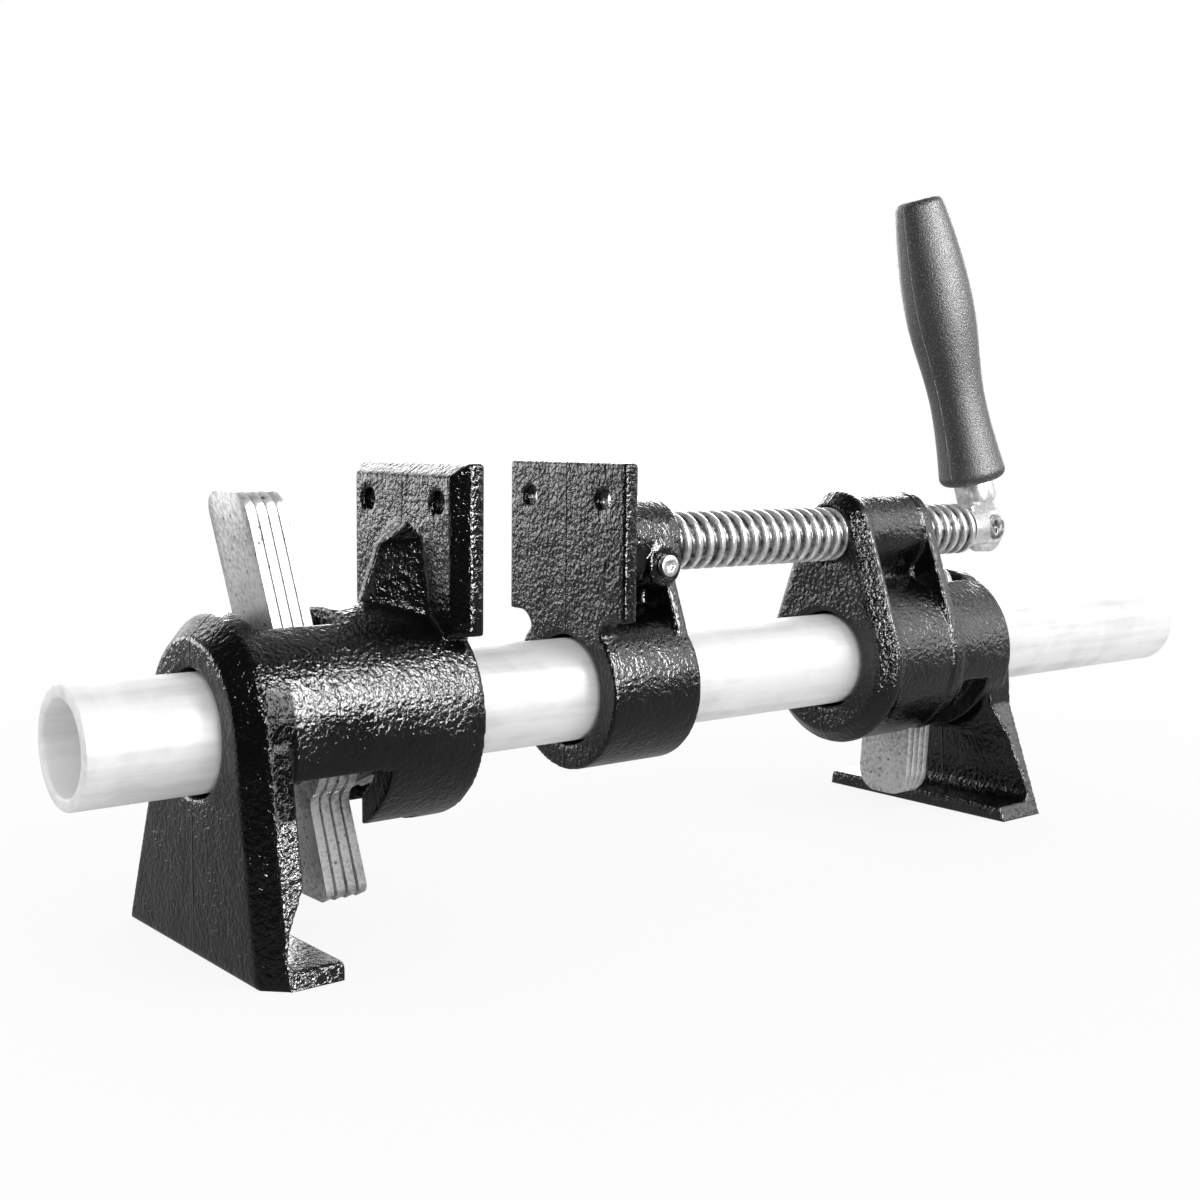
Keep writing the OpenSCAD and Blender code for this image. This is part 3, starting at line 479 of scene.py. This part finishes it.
def merge_points():
    bpy.ops.mesh.remove_doubles(threshold=MERGE_DISTANCE)


def face_outwards():
    bpy.ops.mesh.normals_make_consistent(inside=False)


def join_flat_faces():
    bpy.ops.mesh.dissolve_limited(angle_limit=FLAT_ANGLE)


def shift(way):
    bpy.ops.transform.translate(value=way)


def apply_modifier(piece, kind, **settings):
    make_active(piece)
    modifier = piece.modifiers.new(kind.lower(), kind)
    for name, value in settings.items():
        setattr(modifier, name, value)
    bpy.ops.object.modifier_apply(modifier=modifier.name)


def bevel_edges(piece, width, segments, angle):
    """Rounds every edge that turns by more than that angle."""
    apply_modifier(
        piece, "BEVEL", width=width, segments=segments, limit_method="ANGLE", angle_limit=angle
    )
    make_active(piece)
    bpy.ops.object.shade_smooth_by_angle(angle=SMOOTH_ANGLE)


def soften_edges(piece, width):
    in_edit_mode(piece, join_flat_faces)
    bevel_edges(piece, width, segments=2, angle=SHARP_ANGLE)


def cut_off(piece, cut_x, keep_beyond):
    """Cuts a piece square across the spindle's axis, keeps one side and closes it."""
    in_edit_mode(
        piece,
        lambda: bpy.ops.mesh.bisect(
            plane_co=(cut_x, 0, SPINDLE_Z),
            plane_no=(1, 0, 0),
            use_fill=True,
            clear_inner=keep_beyond,
            clear_outer=not keep_beyond,
        ),
    )


def copy_of_solid(node, name):
    """A merged copy of a CAD node's mesh, free to be shaped."""
    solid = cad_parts[node]
    piece = bpy.data.objects.new(name, solid.data.copy())
    bpy.context.scene.collection.objects.link(piece)
    piece.data.materials.clear()
    in_edit_mode(piece, merge_points)
    return piece


def finish_piece(piece, body, material, node):
    """Gives a piece its finish and its body, and hides the CAD node that it stands for."""
    piece.data.materials.append(material)
    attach(piece, body)
    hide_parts(node)


# Pieces


def cast_piece(node, material):
    """A casting: the solid with every edge softened the way a sand casting's are."""
    piece = copy_of_solid(node, node + "_casting")
    apply_modifier(piece, "REMESH", mode="VOXEL", voxel_size=CASTING_VOXEL, use_smooth_shade=True)
    apply_modifier(piece, "SMOOTH", factor=0.5, iterations=5)
    apply_modifier(piece, "DECIMATE", ratio=0.6)
    finish_piece(piece, node, material, node)


def softened_copy(node, name, body, material, width=MACHINED_EDGE):
    """A machined, stamped or moulded piece: the solid with its sharp edges broken."""
    piece = copy_of_solid(node, name)
    soften_edges(piece, width)
    finish_piece(piece, body, material, node)


def stamped_plate(side, number, material):
    """One clutch plate of one head, on its own body."""
    node = f"{side}_clutch_plate_{number}"
    body = f"{side}_clutch_{number}"
    softened_copy(node, node + "_stamping", body, material, STAMPED_EDGE)


def make_pipe(material):
    deselect_all()
    bpy.ops.mesh.primitive_cylinder_add(
        vertices=128,
        radius=PIPE_RADIUS,
        depth=PIPE_LENGTH,
        end_fill_type="NOTHING",
        location=(0, 0, PIPE_Z),
        rotation=(0, math.pi / 2, 0),
    )
    piece = bpy.context.object
    piece.name = "steel_pipe"
    make_active(piece)
    bpy.ops.object.transform_apply(location=True, rotation=True, scale=True)
    apply_modifier(piece, "SOLIDIFY", thickness=PIPE_WALL, offset=-1)
    bevel_edges(piece, PIPE_EDGE, segments=3, angle=PIPE_END_ANGLE)
    finish_piece(piece, "pipe", material, "pipe")


def draw_thread_profile():
    """Draws one pitch in edit mode, from a point on the root: up one flank, over the crest and down."""
    depth = THREAD_CREST - THREAD_ROOT
    fall = tuple((1.0 - share, rise) for share, rise in reversed(THREAD_FLANK))
    last_share, last_rise = 0.0, 0.0
    for share, rise in THREAD_FLANK + fall + ((1.0, 0.0),):
        step = ((share - last_share) * THREAD_PITCH, 0, (rise - last_rise) * depth)
        bpy.ops.mesh.extrude_vertices_move(TRANSFORM_OT_translate={"value": step})
        last_share, last_rise = share, rise


def thread_blank():
    """One right-hand thread: its profile run round the axis and along it."""
    deselect_all()
    bpy.ops.mesh.primitive_plane_add(size=MM)
    piece = bpy.context.object
    bpy.ops.object.mode_set(mode="EDIT")
    bpy.ops.mesh.select_all(action="SELECT")
    bpy.ops.mesh.merge(type="CENTER")
    shift((0, 0, THREAD_ROOT))
    draw_thread_profile()
    bpy.ops.object.mode_set(mode="OBJECT")
    apply_modifier(
        piece,
        "SCREW",
        axis="X",
        angle=math.tau,
        screw_offset=THREAD_PITCH,
        iterations=THREAD_TURNS,
        steps=THREAD_SIDES,
        render_steps=THREAD_SIDES,
        use_merge_vertices=True,
        merge_threshold=MERGE_DISTANCE,
        use_smooth_shade=True,
    )
    return piece


def make_thread():
    """The thread in its place, cut square at both ends and closed."""
    thread = thread_blank()
    start = (THREAD_LOW_X - THREAD_PITCH / 2, 0, SPINDLE_Z)
    in_edit_mode(thread, lambda: shift(start))
    cut_off(thread, THREAD_LOW_X, keep_beyond=True)
    cut_off(thread, THREAD_END_X, keep_beyond=False)
    in_edit_mode(thread, merge_points, face_outwards)
    return thread


def make_spindle(material):
    """Plain nose and slotted end from the solid, with a real thread between them."""
    nose = copy_of_solid("spindle", "spindle_nose")
    cut_off(nose, THREAD_LOW_X, keep_beyond=False)
    end = copy_of_solid("spindle", "spindle_end")
    cut_off(end, THREAD_END_X, keep_beyond=True)
    for piece in (nose, end):
        soften_edges(piece, TURNED_EDGE)
    thread = make_thread()
    make_active(thread)
    for piece in (nose, end):
        piece.select_set(True)
    bpy.ops.object.join()
    thread.name = "spindle_bar"
    finish_piece(thread, "spindle", material, "spindle")


def paint_springs(material):
    """The two springs show the frame's own coils, in their own steel."""
    for node in ("tail_spring", "head_spring"):
        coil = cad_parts[node]
        coil.data.materials.clear()
        coil.data.materials.append(material)


# Room and light


def mix_shaders(tree, share, first, second):
    mixed = tree.nodes.new("ShaderNodeMixShader")
    tree.links.new(share, mixed.inputs["Fac"])
    tree.links.new(first, mixed.inputs[1])
    tree.links.new(second, mixed.inputs[2])
    return mixed.outputs["Shader"]


def white_light(tree, node, strength):
    """Sets an emission or background node to white light of that strength."""
    node.inputs["Color"].default_value = grey(1.0)
    set_or_link(tree, strength, node.inputs["Strength"])
    return node.outputs[0]


def make_floor():
    deselect_all()
    bpy.ops.mesh.primitive_plane_add(size=FLOOR_SIZE)
    floor = bpy.context.object
    floor.name = "floor"
    material, tree, shader = new_material("pale_floor")
    shader.inputs["Base Color"].default_value = grey(0.85)
    shader.inputs["Roughness"].default_value = 0.9
    shader.inputs["Specular IOR Level"].default_value = 0.1
    path = tree.nodes.new("ShaderNodeLightPath")
    # Lit as a floor near the clamp, and as white as the surroundings away from it
    place = object_coordinates(tree)
    whiteness = spread(tree, length_of(tree, place), within=(0.15, 0.45), to=(0.88, 1.0))
    seen = multiply(tree, path.outputs["Is Camera Ray"], whiteness)
    glow = white_light(tree, tree.nodes.new("ShaderNodeEmission"), 1.0)
    surface = mix_shaders(tree, seen, shader.outputs["BSDF"], glow)
    # What the gloss mirrors of it: dark on the viewer's side, pale behind the clamp
    behind = along(tree, place, BEHIND_ON_FLOOR)
    behind = spread(tree, behind, within=(-0.45, 0.1), to=(0.02, 0.5))
    mirrored = white_light(tree, tree.nodes.new("ShaderNodeEmission"), behind)
    surface = mix_shaders(tree, path.outputs["Is Glossy Ray"], surface, mirrored)
    tree.links.new(surface, tree.nodes["Material Output"].inputs["Surface"])
    floor.data.materials.append(material)


def make_world():
    world = bpy.data.worlds.new("studio")
    bpy.context.scene.world = world
    world.use_nodes = True
    tree = world.node_tree
    path = tree.nodes.new("ShaderNodeLightPath")
    way = tree.nodes.new("ShaderNodeTexCoord").outputs["Generated"]
    even = white_light(tree, tree.nodes["Background"], 0.85)
    # What the gloss mirrors of it, from dark on the viewer's side to bright behind the clamp
    behind = along(tree, way, BEHIND_AND_BELOW)
    behind = spread(tree, behind, within=(-0.3, 0.9), to=(0.02, 1.8))
    mirrored = white_light(tree, tree.nodes.new("ShaderNodeBackground"), behind)
    surface = mix_shaders(tree, path.outputs["Is Glossy Ray"], even, mirrored)
    seen = combine(tree, "MAXIMUM", path.outputs["Is Camera Ray"], path.outputs["Is Transmission Ray"])
    white = white_light(tree, tree.nodes.new("ShaderNodeBackground"), 1.0)
    surface = mix_shaders(tree, seen, surface, white)
    tree.links.new(surface, tree.nodes["World Output"].inputs["Surface"])


def soft_box(name, way, size, brightness, on_matt=False):
    """A lamp that fills a rectangle of the surroundings; brightness is what a mirror shows of it.

    It lights matt surfaces or shows in glossy ones, never both.
    """
    data = bpy.data.lights.new(name, "AREA")
    data.shape = "RECTANGLE"
    data.size, data.size_y = size
    data.energy = brightness * math.pi * math.prod(size)
    lamp = bpy.data.objects.new(name, data)
    bpy.context.scene.collection.objects.link(lamp)
    way = Vector(way).normalized()
    lamp.location = LAMP_MIDDLE + LAMP_DISTANCE * way
    lamp.rotation_euler = (-way).to_track_quat("-Z", "Y").to_euler()
    lamp.visible_camera = False
    lamp.visible_diffuse = on_matt
    lamp.visible_glossy = not on_matt


def make_lights():
    soft_box("side_light", way=(0.36, -0.8, 0.5), size=(0.32, 0.7), brightness=34.0)
    soft_box("fill_light", way=(0.76, -0.55, 0.4), size=(0.5, 0.9), brightness=2.8)
    soft_box("grip_light", way=(-0.07, -1.0, 0.1), size=(0.4, 0.6), brightness=33.0)
    soft_box("back_light", way=(-0.1, 0.85, 0.52), size=(0.7, 0.35), brightness=3.5)
    soft_box("left_light", way=(-0.5, 0.86, 0.1), size=(0.6, 0.3), brightness=5.0)
    soft_box("rim_light", way=(0.68, 0.7, 0.36), size=(1.3, 0.66), brightness=6.0)
    soft_box("front_light", way=(-0.6, -0.62, 0.5), size=(0.2, 0.2), brightness=44.0)
    soft_box("matt_light", way=(0.45, -0.7, 0.6), size=(0.8, 0.8), brightness=1.3, on_matt=True)


make_camera()
make_floor()
make_world()
make_lights()
bpy.context.scene.view_settings.view_transform = "Standard"

make_pipe(plated_tube())

enamel = black_enamel()
for casting in ("tail_head", "screw_head", "sliding_jaw"):
    cast_piece(casting, enamel)

sheet_zinc = plated_sheet()
for number in range(1, PLATES + 1):
    for side in ("tail", "head"):
        stamped_plate(side, number, sheet_zinc)

bar_zinc = plated_bar()
make_spindle(bar_zinc)
softened_copy("handle_shank", "handle_shank_bar", "handle", bar_zinc)

pivot_steel = screw_steel("dull_screw_steel", dark=0.1, bright=0.28)
softened_copy("handle_pivot_screw", "pivot_screw", "spindle", pivot_steel)
jaw_screw_steel = screw_steel("screw_steel", dark=0.4, bright=0.72)
softened_copy("retaining_screw", "jaw_screw", "sliding_jaw", jaw_screw_steel)

softened_copy("handle_grip", "grip_moulding", "handle", grip_plastic())
paint_springs(spring_wire())
